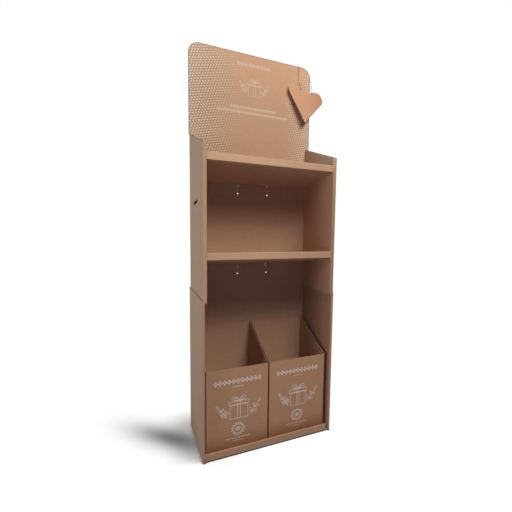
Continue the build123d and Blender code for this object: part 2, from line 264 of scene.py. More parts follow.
# Sizes of what shows in the paper, along the three axes
CLOUDS = (0.31,) * 3
MOTTLE = (0.028,) * 3
FIBRES = (0.006, 0.006, 0.0006)
STREAKS = (0.048, 0.048, 0.0048)
FLECKS = (0.0042,) * 3
FIBRE_RELIEF = 0.00004
MOTTLE_RELIEF = 0.0001


def kraft_surface(look, colours):
    """Recycled brown paper: its colour with clouds, fibres and flecks, and its relief."""
    clouds = look.noise(CLOUDS, detail=3.0)
    mottle = look.noise(MOTTLE, detail=4.0, roughness=0.6)
    streaks = look.noise(STREAKS, detail=3.0)
    fibres = look.noise(FIBRES, detail=5.0, roughness=0.7, distortion=0.4)
    blend = look.math("MULTIPLY_ADD", clouds, 0.5, look.times(mottle, 0.5))
    colour = look.mix(look.ramp(blend, 0.3, 0.7), *colours)
    swings = ((clouds, 0.05), (mottle, 0.06), (streaks, 0.05), (fibres, 0.12))
    colour = look.scale(colour, look.add(1.0, *(look.spread(*swing) for swing in swings)))
    distance, random = look.cells(FLECKS)
    pick_dark, pick_pale, pick_size = look.split(random)
    reach = look.math("MULTIPLY_ADD", pick_size, 0.13, 0.03)
    inside = look.below(distance, reach)
    dark_fleck = look.times(inside, look.above(pick_dark, 0.72), 0.55)
    pale_fleck = look.times(inside, look.above(pick_pale, 0.8), 0.5)
    colour = look.mix(dark_fleck, colour, FLECK)
    colour = look.mix(pale_fleck, colour, PALE_FLECK)
    relief = look.add(look.times(fibres, FIBRE_RELIEF), look.times(mottle, MOTTLE_RELIEF))
    return colour, relief, fibres


LINER = 0.0004  # thickness of the outer papers
WAVE_EDGE = (0.00022, 0.0004)  # where the wavy paper ends, from its middle
LINER_FACE = (0.00032, 0.00052)  # where the outer paper ends, from the face
# Painted light and shade on the flute ridges, in step with their relief
FLUTE_TONE = 0.012
FLUTE_RELIEF = 0.000035
HOLLOW_DEPTH = 0.0006
PALE_EDGE = (LINER_EDGE, 0.0016, 0.55)  # colour, reach and strength of the pale edges: worn fibres and a painted highlight
GREY_EDGE = (linear(118, 100, 88), 0.0030, 0.75)


def flute_waves(look, across):
    """A wave from -1 to 1 for each flute, with the coordinate that runs across the flutes."""
    return look.math("SINE", look.times(across, tau / FLUTE_PITCH))


def flute_section(look, offset, along, thickness):
    """How far a cut edge of corrugated board is into the hollows between its papers, 0 to 1."""
    face = thickness / 2
    wave = look.times(flute_waves(look, along), face - LINER)
    off_wave = look.ramp(look.absolute(look.minus(offset, wave)), *WAVE_EDGE)
    inner = look.ramp(look.absolute(offset), face - LINER_FACE[0], face - LINER_FACE[1])
    return look.times(off_wave, inner)


def corrugated(name, colours, across, cut, thickness=BOARD, marks=None, edge=PALE_EDGE):
    """Corrugated kraft board in two colours that blend.

    across(look) is the coordinate across the flutes. cut(look) gives the share of a face
    that is a cut edge, the distance from the board's middle and the coordinate along the edge.
    marks(look, colour) changes the paper's colour by what is printed on it and by painted light and
    shade.
    """
    look = Look(name)
    colour, relief, fibres = kraft_surface(look, colours)
    waves = flute_waves(look, across(look))
    # painted light and shade along the flutes
    colour = look.scale(colour, look.math("MULTIPLY_ADD", waves, FLUTE_TONE, 1.0))
    relief = look.add(relief, look.times(waves, FLUTE_RELIEF))
    if marks:
        colour = marks(look, colour)
    # Edges paler or greyer than the face; the pale ones are worn fibres and a painted highlight.
    edge_colour, reach, strength = edge
    colour = look.mix(look.times(look.edge_band(reach), strength), colour, edge_colour)
    share, offset, along = cut(look)
    hollow = flute_section(look, offset, along, thickness)
    colour = look.mix(share, colour, look.mix(hollow, LINER_EDGE, FLUTE_SHADE))
    relief = look.minus(relief, look.times(hollow, share, HOLLOW_DEPTH))
    roughness = look.add(0.78, look.spread(fibres, 0.08))
    return look.finish(colour, roughness, relief, specular=0.22, sheen=0.04)


def wrapped(look):
    """The coordinate round an upright wall: x on its front and back, y on its sides."""
    sideways = look.above(look.absolute(look.facing_x), 0.6)
    return look.choose(sideways, look.x, look.y)


def depth_and_height(look):
    """The coordinate across flutes that run from left to right."""
    return look.add(look.y, look.z)


def depth(look):
    return look.y


def body_cut(low, high, wall, folded_tops=False):
    """Cut edges of a body: the upper and lower ends of its walls, posts and back panel."""
    inner = high.x - wall

    def cut(look):
        share = look.above(look.absolute(look.facing_z), 0.5)
        reach = look.absolute(look.x)
        if folded_tops:
            side_top = look.times(look.above(look.facing_z, 0.5), look.above(reach, inner))
            share = look.math("SUBTRACT", share, side_top, clamp=True)
        is_outer = look.above(reach, high.x - wall / 2)
        middle = look.choose(is_outer, inner + BOARD / 2, high.x - BOARD / 2)
        wall_offset = look.minus(reach, middle)
        is_back = look.above(look.y, high.y - BOARD)
        is_panel = look.math("MAXIMUM", is_back, look.below(look.y, low.y + BOARD))
        panel = look.choose(is_back, low.y + BOARD / 2, high.y - BOARD / 2)
        offset = look.choose(is_panel, wall_offset, look.minus(look.y, panel))
        return share, offset, look.choose(is_panel, look.y, look.x)

    return cut


def rim_cut(look):
    """Cut edges of the upright header card, all round its rim."""
    share = look.below(look.absolute(look.facing_y), 0.5)
    return share, look.minus(look.y, (HEADER_LOW.y + HEADER_HIGH.y) / 2), look.x


def bin_cut(low, high):
    """Cut edges of a bin: the level and sloping upper ends of its walls."""
    middle = (low + high) / 2
    half = (high - low) / 2

    def cut(look):
        share = look.above(look.facing_z, 0.5)
        reach = look.absolute(look.minus(look.x, middle.x))
        wall_offset = look.minus(reach, half.x - BIN_BOARD / 2)
        is_wall = look.above(reach, half.x - BIN_BOARD)
        rear = look.absolute(look.minus(look.y, middle.y))
        panel_offset = look.minus(rear, half.y - BIN_BOARD / 2)
        offset = look.choose(is_wall, panel_offset, wall_offset)
        return share, offset, look.choose(is_wall, look.x, look.y)

    return cut


def end_cut(look):
    """Cut edges of a folded shelf or tray: its left and right ends, cut along the flutes."""
    share = look.above(look.absolute(look.facing_x), 0.9)
    return share, BOARD / 4, depth_and_height(look)


# Painted light and shade on the boards, as tones. A TONE of four numbers is two heights, or places
# across, and then the tones there.
FOOT_SHADE = (0.74, 0.61, 0.50, 1.0)  # what is left of each colour at the bottom of a bin
FOOT_REACH = (0.010, 0.092)
BIN_TONE = (0.22, 0.34, 1.055, 1.0)
LEFT_POST_TONE = (0.85, 1.30, 1.07, 0.94)
RIGHT_POST_TONE = (1.16, 1.38, 0.72, 0.98)
RIGHT_INNER_TONE = 1.17
FOLDED_TOP_TONE = 1.35
LIP_TONE = (-0.16, 0.26, 1.19, 0.98)
HEADER_TONE = (1.58, 1.81, 0.98, 1.11)
HEADER_TINT = (0.82, 0.88, 0.88, 1.0)
HEADER_PLACES = (-0.28, -0.04)


def front_tone(look, colour, tone):
    """The colour with a tone on the faces that look to the front only."""
    change = look.times(look.faces_front(), look.minus(tone, 1.0))
    return look.scale(colour, look.add(1.0, change))


def bin_foot_painted_shade(base):
    """Painted shade that darkens a bin's front at its bottom, behind the tray's lip, and painted light
    that makes it paler above that.
    """

    def marks(look, colour):
        colour = front_tone(look, colour, look.ramp(look.z, *BIN_TONE))
        rise = look.ramp(look.z, base + FOOT_REACH[0], base + FOOT_REACH[1])
        amount = look.times(look.minus(1.0, rise), look.faces_front())
        return look.mix(amount, colour, FOOT_SHADE, blend="MULTIPLY")

    return marks


def upper_body_painted_light(look, colour):
    """Painted light and shade on the upper body's posts, right inner walls and tops; the right post is
    darkened, most of all lower down.
    """
    is_left = look.below(look.x, 0.0)
    left_tone = look.ramp(look.z, *LEFT_POST_TONE)
    right_tone = look.ramp(look.z, *RIGHT_POST_TONE)
    tone = look.choose(is_left, right_tone, left_tone)
    is_post = look.below(look.y, UPPER_LOW.y + BOARD)
    posts = look.mix(is_post, colour, front_tone(look, colour, tone))
    right_inner = look.times(look.below(look.facing_x, -0.5), look.above(look.x, 0.0))
    tops = look.above(look.facing_z, 0.5)
    paler_inner = look.times(right_inner, RIGHT_INNER_TONE - 1.0)
    paler_tops = look.times(tops, FOLDED_TOP_TONE - 1.0)
    return look.scale(posts, look.add(1.0, paler_inner, paler_tops))


def lip_painted_light(look, colour):
    """Painted light that makes the fronts of the shelves' lips paler at their left."""
    return front_tone(look, colour, look.ramp(look.x, *LIP_TONE))


# Fading screen of pale dots on the header card, and the dark line along its front edge
DOT_PITCH = 0.0131
DOT_TURN = radians(13.5)
DOT_RIM = 0.0006
DOT_STRENGTH = 0.56
DOT_GROWTH = 0.7
DOT_LEFT_RADIUS = 0.0047
DOT_LEFT_END = -0.012  # where the dots of the left side have faded away
DOT_RIGHT_RADIUS = (0.0045, 0.0034)  # at the lower and the upper of the two heights
DOT_RIGHT_START = (0.125, 0.175)
DOT_RIGHT_HEIGHTS = (1.65, 1.76)
HEADER_CORNER = 0.050
RIM_LINE_REACH = (0.0030, 0.0021)  # in from the edge, where the line starts and is full
RIM_LINE_STRENGTH = 0.7


def length_of(look, first, second):
    squares = look.add(look.times(first, first), look.times(second, second))
    return look.math("SQRT", squares)


def rim_line(look):
    """1 along the sides, round corners and top of the header card, and 0 away from them."""
    sideways = look.minus(look.absolute(look.x), HEADER_HALF - HEADER_CORNER)
    upwards = look.minus(look.z, HEADER_HIGH.z - HEADER_CORNER)
    past = [look.math("MAXIMUM", value, 0.0) for value in (sideways, upwards)]
    inside = look.math("MINIMUM", look.math("MAXIMUM", sideways, upwards), 0.0)
    reach = look.add(length_of(look, *past), inside)
    return look.ramp(reach, *(HEADER_CORNER - place for place in RIM_LINE_REACH))


def dot_radius(look, past, width, largest):
    """The radius of the dots at a distance past their screen's inner end, whose width is given."""
    growth = look.math("MAXIMUM", look.math("DIVIDE", past, width), 0.0)
    return look.times(look.math("POWER", growth, DOT_GROWTH), largest)


def halftone(look, colour):
    """Dots in rows of equilateral triangles, large at the card's sides and gone in the middle.

    The board under them is paler at its top, a painted light, and greyer at its left, a painted shade.
    """
    colour = front_tone(look, colour, look.ramp(look.z, *HEADER_TONE))
    at_left = look.ramp(look.x, *HEADER_PLACES, 1.0, 0.0)
    colour = look.mix(at_left, colour, HEADER_TINT, blend="MULTIPLY")
    row = DOT_PITCH * sin(pi / 3)
    along, up = look.turn(look.x, look.z, DOT_TURN)
    rows = look.math("DIVIDE", up, row)
    row_number = look.math("FLOOR", rows)
    row_place = look.minus(rows, look.add(row_number, 0.5))
    columns = look.add(look.math("DIVIDE", along, DOT_PITCH), look.times(row_number, 0.5))
    column_place = look.minus(look.math("FRACT", columns), 0.5)
    distance = length_of(look, look.times(column_place, DOT_PITCH), look.times(row_place, row))
    left_width = HEADER_HALF + DOT_LEFT_END
    left = dot_radius(look, look.minus(DOT_LEFT_END, look.x), left_width, DOT_LEFT_RADIUS)
    start = look.ramp(look.z, *DOT_RIGHT_HEIGHTS, *DOT_RIGHT_START)
    largest = look.ramp(look.z, *DOT_RIGHT_HEIGHTS, *DOT_RIGHT_RADIUS)
    right = dot_radius(look, look.minus(look.x, start), look.minus(HEADER_HALF, start), largest)
    inside = look.ramp(look.minus(look.math("MAXIMUM", left, right), distance), 0.0, DOT_RIM)
    dotted = look.mix(look.times(inside, look.faces_front(), DOT_STRENGTH), colour, DOT_INK)
    return look.mix(look.times(rim_line(look), RIM_LINE_STRENGTH), dotted, RIM_LINE)


# Painted shade on the heart: from nothing at the first place to full at the second
CARD_SHADE_PLACES = (-0.01, 0.10)  # from the heart's centre
CARD_EDGE = (0.0012, 0.6)  # reach and strength of the pale rim: worn fibres and a painted highlight
INK_PATCHES = (0.0035,) * 3
INK_FIBRES = (0.004, 0.004, 0.0006)
INK_RELIEF = 0.00003
TWINE_FIBRES = (0.0008, 0.0008, 0.0003)
TWINE_STAINS = (0.02,) * 3
TWINE_RELIEF = 0.00012


def plain_card(name, colours):
    """Smooth brown card with a pale rim, partly worn and partly a painted highlight, and its right side
    darker and redder as painted shade.
    """
    look = Look(name)
    colour, relief, fibres = kraft_surface(look, colours)
    painted_shade = look.ramp(look.x, *(HEART_CENTRE.x + place for place in CARD_SHADE_PLACES), 0.0, 0.7)
    colour = look.mix(painted_shade, colour, CARD_PAINTED_SHADE)
    reach, strength = CARD_EDGE
    colour = look.mix(look.times(look.edge_band(reach), strength), colour, LINER_EDGE)
    roughness = look.add(0.7, look.spread(fibres, 0.08))
    return look.finish(colour, roughness, relief, specular=0.28, sheen=0.03)


def ink(name, colour, under, cover):
    """Matt pale ink whose cover is patchy, because the rough paper under it shows through."""
    look = Look(name)
    patches = look.noise(INK_PATCHES, detail=4.0, roughness=0.7)
    fibres = look.noise(INK_FIBRES, detail=3.0)
    share = look.add(cover, look.spread(patches, 0.16), look.spread(fibres, 0.1))
    mixed = look.mix(share, under, colour)
    roughness = look.add(0.7, look.spread(patches, 0.1))
    return look.finish(mixed, roughness, look.times(fibres, INK_RELIEF), specular=0.2)


def twine(name):
    """Grey-brown cotton twine with darker grooves of dust and loose fibres."""
    look = Look(name)
    fibres = look.noise(TWINE_FIBRES, detail=4.0, roughness=0.7)
    stains = look.noise(TWINE_STAINS, detail=2.0)
    colour = look.mix(look.ramp(fibres, 0.3, 0.75, 1.0, 0.0), *TWINE)
    colour = look.scale(colour, look.add(1.0, look.spread(stains, 0.1)))
    roughness = look.add(0.85, look.spread(fibres, 0.1))
    relief = look.times(fibres, TWINE_RELIEF)
    return look.finish(colour, roughness, relief, specular=0.15, sheen=0.2)


def dress(node, material):
    """Gives a solid its material and lets it keep its own shape."""
    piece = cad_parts[node]
    if not piece.material_slots:
        piece.data.materials.append(material)
    for slot in piece.material_slots:
        slot.link = "OBJECT"
        slot.material = material


def dress_solids():
    upper_cut = body_cut(UPPER_LOW, UPPER_HIGH, UPPER_WALL, folded_tops=True)
    lower_cut = body_cut(LOWER_LOW, LOWER_HIGH, LOWER_WALL)
    dress("upper_body", corrugated("upper_kraft", KRAFT, wrapped, upper_cut, marks=upper_body_painted_light))
    dress("lower_body", corrugated("lower_kraft", KRAFT, wrapped, lower_cut))
    shelf = corrugated("shelf_kraft", KRAFT, depth_and_height, end_cut, marks=lip_painted_light)
    for node in ("top_shelf", "middle_shelf"):
        dress(node, shelf)
    dress("base_tray", corrugated("tray_kraft", TRAY_KRAFT, depth_and_height, end_cut))
    dress("base_support", corrugated("support_kraft", SUPPORT_KRAFT, depth, end_cut))
    header = corrugated("header_kraft", HEADER_KRAFT, wrapped, rim_cut, marks=halftone, edge=GREY_EDGE)
    dress("header_card", header)
    for node in ("left_bin", "right_bin"):
        low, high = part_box(node)
        shade = bin_foot_painted_shade(low.z)
        dress(node, corrugated(node + "_kraft", BIN_KRAFT, wrapped, bin_cut(low, high), BIN_BOARD, shade))


def new_piece(name, made, material, smooth=False):
    """The finished bmesh as an object of the scene."""
    for face in made.faces:
        face.smooth = smooth
    data = bpy.data.meshes.new(name)
    made.to_mesh(data)
    made.free()
    data.materials.append(material)
    return new_object(name, data)


def band(made, first, second, closed=True):
    """Faces between two lines of corners."""
    for index in range(len(first) if closed else len(first) - 1):
        following = (index + 1) % len(first)
        made.faces.new((first[index], first[following], second[following], second[index]))


MITRE_LIMIT = 0.45


class Print:
    """Flat ink shapes on an upright face that looks to the front. Places are across and up."""

    def __init__(self, face_y, centre_x, base_z):
        self.mesh = bmesh.new()
        self.place = (centre_x, face_y, base_z)
        self.shapes = 0

    def corner(self, point, lift):
        x, y, z = self.place
        return self.mesh.verts.new((x + point[0], y - lift, z + point[1]))

    def slab(self, rings):
        """The near and the far corners of a thin solid between outlines."""
        lift = INK_LIFT + INK_STEP * (self.shapes % INK_LEVELS)
        self.shapes += 1
        near = [[self.corner(point, lift) for point in ring] for ring in rings]
        far = [[self.corner(point, lift - INK_THICKNESS) for point in ring] for ring in rings]
        return near, far

    def patch(self, outline):
        """A filled shape inside a closed outline that turns anticlockwise."""
        (near,), (far,) = self.slab([outline])
        self.mesh.faces.new(near)
        self.mesh.faces.new(far[::-1])
        band(self.mesh, near, far)

    def stroke(self, points, width, closed=False):
        """A line of even width with mitred corners through the points."""
        places = [Vector(point) for point in points]
        ways = [(b - a).normalized() for a, b in zip(places, (*places[1:], places[0]))]
        if not closed:
            ways[-1] = ways[-2]
        sides = ([], [])
        for index, (here, second) in enumerate(zip(places, ways)):
            first = ways[index - 1] if closed or index else second
            bisector = (first + second).normalized()
            normal = Vector((-bisector.y, bisector.x))
            stretch = 1 / max(abs(normal.dot(Vector((-first.y, first.x)))), MITRE_LIMIT)
            for side, sign in zip(sides, (1, -1)):
                side.append(here + normal * (sign * stretch * width / 2))
        (left, right), (far_left, far_right) = self.slab(sides)
        around = (left, right, far_right, far_left)
        for first, second in zip(around, (*around[1:], left)):
            band(self.mesh, first, second, closed)
        if not closed:
            for end in (0, -1):
                self.mesh.faces.new([corners[end] for corners in around])

    def make(self, name, material):
        bmesh.ops.recalc_face_normals(self.mesh, faces=self.mesh.faces)
        piece = new_piece(name, self.mesh, material)
        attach(piece, BODY)


def turned(points, angle, place=(0.0, 0.0)):
    """Points turned about the origin and then moved."""
    return [
        (place[0] + x * cos(angle) - y * sin(angle), place[1] + x * sin(angle) + y * cos(angle))
        for x, y in points
    ]


def leaf_outline(length, width, steps=9):
    """A pointed leaf from the origin along the first axis."""
    upper = [(length * i / steps, width / 2 * sin(pi * i / steps) ** 0.8) for i in range(steps + 1)]
    lower = [(x, -y) for x, y in reversed(upper[1:-1])]
    return lower + upper


def arc(centre, radius, start, sweep, steps):
    """Places on a part of a circle, one more than its steps."""
    turns = [start + sweep * i / steps for i in range(steps + 1)]
    return [(centre[0] + radius * cos(turn), centre[1] + radius * sin(turn)) for turn in turns]


def ring_points(radius, steps, centre):
    return arc(centre, radius, 0, tau, steps)[:-1]


def ribbon_loop(length, width, steps=24, start=0.11):
    """One loop of a bow, from beside the knot out and back again."""
    turns = [tau * (start + (1 - 2 * start) * i / steps) for i in range(steps + 1)]
    return [(length * (1 - cos(turn)) / 2, width * sin(turn) * sin(turn / 2)) for turn in turns]


def rounded_box(left, bottom, right, top, radius, steps=4):
    """A rectangle with round corners, anticlockwise."""
    left, bottom, right, top = left + radius, bottom + radius, right - radius, top - radius
    points = []
    for quarter, centre in enumerate(((right, top), (left, top), (left, bottom), (right, bottom))):
        points += arc(centre, radius, quarter * pi / 2, pi / 2, steps)
    return points


STEM_STEPS = 10
STEM_BEND = 0.14
LEAF_TURN = radians(48)


def sprig(picture, place, angle, length, leaves, line):
    """A bent stem with leaves in pairs and one at its tip."""
    bend = STEM_BEND if leaves % 2 else -STEM_BEND
    shares = [i / STEM_STEPS for i in range(STEM_STEPS + 1)]
    stem = [(length * share, bend * length * share ** 2) for share in shares]
    picture.stroke(turned(stem, angle, place), line)
    for pair in range(leaves):
        at = stem[int(2 + pair * 8 / leaves)]
        size = length * (0.36 - 0.05 * pair)
        for side in (-1, 1):
            outline = turned(leaf_outline(size, size * 0.42), side * LEAF_TURN, at)
            picture.stroke(turned(outline, angle, place), line, closed=True)
    tip = turned(leaf_outline(length * 0.3, length * 0.13), 0, stem[-1])
    picture.stroke(turned(tip, angle, place), line, closed=True)


BOW_LOOPS = ((0.42, 0.16, 1.0), (0.28, 0.07, 0.8))  # length, breadth and weight of line
BOW_TURN = radians(24)


def gift_box(picture, place, width, height, line):
    """A parcel with a lid, a ribbon and a bow, in outline."""
    x, y = place
    lid = height * 0.24
    lip = width * 0.06
    half = width / 2
    ribbon = width * 0.075
    picture.stroke(rounded_box(x - half, y, x + half, y + height, line), line, closed=True)
    top = y + height
    lid_box = rounded_box(x - half - lip, top + line, x + half + lip, top + line + lid, line * 1.5)
    picture.stroke(lid_box, line, closed=True)
    for side in (x - ribbon, x + ribbon):
        picture.stroke([(side, y), (side, top)], line)
        picture.stroke([(side, top + line), (side, top + line + lid)], line)
    knot = (x, top + 2 * line + lid + line)
    for length, breadth, weight in BOW_LOOPS:
        loop = ribbon_loop(width * length, width * breadth)
        for sign in (1, -1):
            mirrored = [(sign * a, b) for a, b in loop]
            picture.stroke(turned(mirrored, sign * BOW_TURN, knot), line * weight)
    picture.patch(ring_points(line * 1.7, 12, knot))


def diamond_band(picture, place, width, height, count, line):
    """Diamonds and dots in turn along a level line."""
    pitch = width / count
    reach = pitch * 0.36
    y = place[1]
    for index in range(count):
        x = place[0] - width / 2 + (index + 0.5) * pitch
        diamond = [(x + reach, y), (x, y + height / 2), (x - reach, y), (x, y - height / 2)]
        picture.stroke(diamond, line, closed=True)
        picture.patch([(x + (a - x) * 0.34, y + (b - y) * 0.34) for a, b in diamond])
        if index < count - 1:
            picture.patch(ring_points(line * 0.9, 10, (x + pitch / 2, y)))


WREATH_RING = 0.72
WREATH_LEAN = radians(50)
PETALS = 6


def leaf_wreath(picture, place, radius, leaves, line):
    """Small leaves round a ring, all leaning the same way, with a flower in the middle."""
    ring = radius * WREATH_RING
    picture.stroke(ring_points(ring, 44, place), line, closed=True)
    leaf = leaf_outline(radius * 0.42, radius * 0.16)
    for index, at in enumerate(ring_points(ring, leaves, place)):
        picture.patch(turned(leaf, tau * index / leaves + WREATH_LEAN, at))
    petal = leaf_outline(radius * 0.4, radius * 0.16)
    for index in range(PETALS):
        picture.stroke(turned(petal, tau * index / PETALS, place), line * 0.8, closed=True)


def wave_line(picture, place, width, height, waves, line):
    steps = waves * 10
    points = [
        (place[0] - width / 2 + width * i / steps, place[1] + height / 2 * sin(tau * waves * i / steps))
        for i in range(steps + 1)
    ]
    picture.stroke(points, line)


def level_line(picture, place, width, line):
    x, y = place
    picture.stroke([(x - width / 2, y), (x + width / 2, y)], line)


# Shapes of each print: place, angle or sizes, number of leaves, diamonds or waves, and width of line.
# Places are from the middle of the top edge of a bin's front, and on the header from the floor.
LINE = 0.0021
FINE = LINE * 0.8
BOLD = 0.0028
BIN_PICTURE = (
    (diamond_band, (0, -0.060), 0.212, 0.021, 11, BOLD),
    (level_line, (0, -0.084), 0.050, LINE),
    (gift_box, (0.004, -0.232), 0.078, 0.062, LINE),
    (sprig, (-0.046, -0.226), radians(118), 0.062, 3, LINE),
    (sprig, (0.054, -0.226), radians(62), 0.062, 2, LINE),
    (leaf_wreath, (0, -0.281), 0.030, 14, LINE),
    (wave_line, (0, -0.322), 0.108, 0.005, 9, FINE),
    (level_line, (0, -0.334), 0.048, FINE),
)
THIN = 0.0022
THICK = 0.0034
HEADER_PICTURE = (
    (diamond_band, (0, 1.779), 0.172, 0.019, 9, THICK),
    (gift_box, (0.004, 1.636), 0.062, 0.050, THIN),
    (sprig, (-0.036, 1.642), radians(112), 0.052, 3, THIN),
    (sprig, (0.044, 1.642), radians(68), 0.052, 2, THIN),
    (diamond_band, (0, 1.576), 0.228, 0.013, 16, THICK),
    (diamond_band, (0, 1.553), 0.350, 0.013, 25, THICK),
)


def print_boards():
    faded = ink("header_ink", WHITE_INK, HEADER_KRAFT[0], 0.26)
    white = ink("bin_ink", WHITE_INK, BIN_KRAFT[0], 0.9)
    prints = [("header_print", HEADER_PICTURE, (HEADER_LOW.y, 0, 0), faded, "header_board")]
    for node in ("left_bin", "right_bin"):
        low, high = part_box(node)
        origin = (low.y, (low.x + high.x) / 2, low.z + BIN_FRONT_HEIGHT)
        prints.append((node + "_print", BIN_PICTURE, origin, white, "bin_board"))
    for name, shapes, origin, material, slot in prints:
        picture = Print(*origin)
        for draw, *sizes in shapes:
            draw(picture, *sizes)
        picture.make(name, material)


# Heart of bent card, hung askew. Its outline is given across and up in its own plane.
HEART_CENTRE = Vector((0.2680, 0.1430, 1.6485))
HEART_TURN = radians(9)
HEART_LEAN = radians(12)
HEART_ROLL = radians(9)
HEART_BOW = 1.5  # radius of its bend from left to right
HEART_THICKNESS = 0.002
HEART_SHIFT = (0.0020, 0.0025)  # outline against its centre
HEART_NOTCH = (
    (0.0, 0.0476), (0.0045, 0.0492), (0.0095, 0.0522),
    (0.016, 0.0572), (0.0235, 0.0632), (0.0315, 0.0687),
    (0.040, 0.0730), (0.050, 0.0767), (0.059, 0.0791),
)
LOBE_CENTRE = (0.067, 0.044)
LOBE_RADIUS = 0.036
LOBE_START = radians(92)
LOBE_SWEEP = radians(-127)
LOBE_STEPS = 26
SIDE_STEPS = 24
TIP = Vector((0.0, -0.113))
TIP_CURVE = ((0.0044, -0.1065792), (0.0028, -0.1098048), (0.0014, -0.1114512), (0.0, -0.112))
HEART_HOLES = ((-0.033, 0.060), (0.033, 0.060))
HOLE_RADIUS = 0.0021
HOLE_STEPS = 28
HEART_GRID = 0.006  # between the points inside the outline
GRID_COLUMNS = range(-18, 19)
GRID_ROWS = range(-20, 16)
GRID_GAP = 0.0033  # from the rims to the nearest of them
RIM_ROUND = 0.0003
RIM_ANGLE = radians(60)
SHARP_ANGLE = radians(40)


def heart_outline():
    """The outline, the same on both sides, from the notch round by the left."""
    half = list(HEART_NOTCH) + arc(LOBE_CENTRE, LOBE_RADIUS, LOBE_START, LOBE_SWEEP, LOBE_STEPS)
    side = Vector(half[-1])
    half += [tuple(side.lerp(TIP, step / SIDE_STEPS)) for step in range(1, SIDE_STEPS)]
    half += TIP_CURVE
    left = [(-x, z) for x, z in half]
    return [(x + HEART_SHIFT[0], z + HEART_SHIFT[1]) for x, z in left + half[-2:0:-1]]


def heart_flat():
    """Points and triangles of the flat heart, whose holes are still covered."""
    outline = heart_outline()
    points = []
    edges = []
    for loop in (outline, *(ring_points(HOLE_RADIUS, HOLE_STEPS, hole) for hole in HEART_HOLES)):
        first = len(points)
        points += [Vector(point) for point in loop]
        edges += [(first + i, first + (i + 1) % len(loop)) for i in range(len(loop))]
    rims = list(points)
    for column in GRID_COLUMNS:
        for row in GRID_ROWS:
            place = Vector(((column + 0.5 * (row % 2)) * HEART_GRID, row * HEART_GRID))
            if min((place - point).length for point in rims) > GRID_GAP:
                points.append(place)
    made = delaunay_2d_cdt(points, edges, [list(range(len(outline)))], 1, 1e-7)
    return made[0], made[2]


def make_heart():
    level = Vector((cos(HEART_TURN), sin(HEART_TURN), 0))
    rear_lean = cos(HEART_TURN) * sin(HEART_LEAN)
    steep = Vector((-sin(HEART_TURN) * sin(HEART_LEAN), rear_lean, cos(HEART_LEAN)))
    across = level * cos(HEART_ROLL) - steep * sin(HEART_ROLL)
    up = steep * cos(HEART_ROLL) + level * sin(HEART_ROLL)
    out = across.cross(up)
    points, triangles = heart_flat()
    made = bmesh.new()

    def layer(depth):
        """The points on the bent card at a depth behind its front."""
        corners = []
        for x, z in points:
            bend = x * x / (2 * HEART_BOW)
            tilt = (out - across * (x / HEART_BOW)).normalized()
            place = HEART_CENTRE + across * x + up * z - out * bend - tilt * depth
            corners.append(made.verts.new(place))
        return corners

    front = layer(0.0)
    rear = layer(HEART_THICKNESS)
    rims = {}
    for triangle in triangles:
        middle = sum((Vector(points[index]) for index in triangle), Vector((0, 0))) / 3
        if any((middle - Vector(hole)).length < HOLE_RADIUS * 0.98 for hole in HEART_HOLES):
            continue
        made.faces.new([front[index] for index in triangle])
        made.faces.new([rear[index] for index in reversed(triangle)])
        for first, second in zip(triangle, (*triangle[1:], triangle[0])):
            if not rims.pop((second, first), False):
                rims[(first, second)] = True
    for first, second in rims:
        made.faces.new((front[second], front[first], rear[first], rear[second]))
    for corner in [corner for corner in made.verts if not corner.link_faces]:
        made.verts.remove(corner)
    bmesh.ops.recalc_face_normals(made, faces=made.faces)
    sharp = [edge for edge in made.edges if edge.calc_face_angle(0.0) > RIM_ANGLE]
    bmesh.ops.bevel(
        made, geom=sharp, offset=RIM_ROUND, segments=2, profile=0.5, affect="EDGES", clamp_overlap=True
    )
    piece = new_piece("heart_bent_card", made, plain_card("heart_card", CARD), smooth=True)
    piece.data.set_sharp_from_angle(angle=SHARP_ANGLE)
    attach(piece, BODY)
    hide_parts("heart")


# Cord of the heart, along the same route as its solid
CORD_DIAMETER = 0.0016
CORD_ROUTE = (
    (0.2425, 0.1552, 1.7109), (0.2434, 0.1499, 1.7121), (0.2405, 0.1519, 1.7205),
    (0.2355, 0.1533, 1.7340), (0.2320, 0.1555, 1.7550), (0.2310, 0.1576, 1.7800),
    (0.2315, 0.1598, 1.8040), (0.2330, 0.1616, 1.8195), (0.2340, 0.1620, 1.8314),
    (0.2346, 0.1716, 1.8313), (0.2390, 0.1718, 1.8220), (0.2510, 0.1715, 1.8115),
    (0.2690, 0.1720, 1.7960), (0.2870, 0.1716, 1.7820), (0.2975, 0.1719, 1.7730),
    (0.3035, 0.1714, 1.7675), (0.3037, 0.1622, 1.7635), (0.3050, 0.1612, 1.7510),
    (0.3068, 0.1606, 1.7365), (0.3077, 0.1600, 1.7230), (0.3079, 0.1582, 1.7110),
    (0.3082, 0.1578, 1.7021), (0.3073, 0.1631, 1.7009),
)
CORD_FULLNESS = 1.1  # reach of its strands, so that its middling diameter is the cord's own
STRAND_COUNT = 3
STRAND_LAY = 0.0065  # length of one full turn of the strands
GROOVE_DEPTH = 0.20  # between the strands, as a share of the radius
RING_STEP = 0.0005
RING_POINTS = 12
KNOT_STEPS = 72
KNOT_SCALE = 0.00058
KNOT_DEPTH = 0.000754
KNOT_PLACE = 0.002  # past the cord's end
KNOT_RADIUS = 0.00072


def cord_line():
    """Points along the route's own smooth curve."""
    data = bpy.data.curves.new("cord_line", "CURVE")
    data.dimensions = "3D"
    data.resolution_u = 12
    spline = data.splines.new("NURBS")
    spline.points.add(len(CORD_ROUTE) - 1)
    for point, place in zip(spline.points, CORD_ROUTE):
        point.co = (*place, 1.0)
    spline.order_u = 3
    spline.use_endpoint_u = True
    holder = new_object("cord_line", data)
    bpy.context.view_layer.update()
    mesh = bpy.data.meshes.new_from_object(holder)
    points = [vertex.co.copy() for vertex in mesh.vertices]
    bpy.data.objects.remove(holder)
    bpy.data.meshes.remove(mesh)
    return points


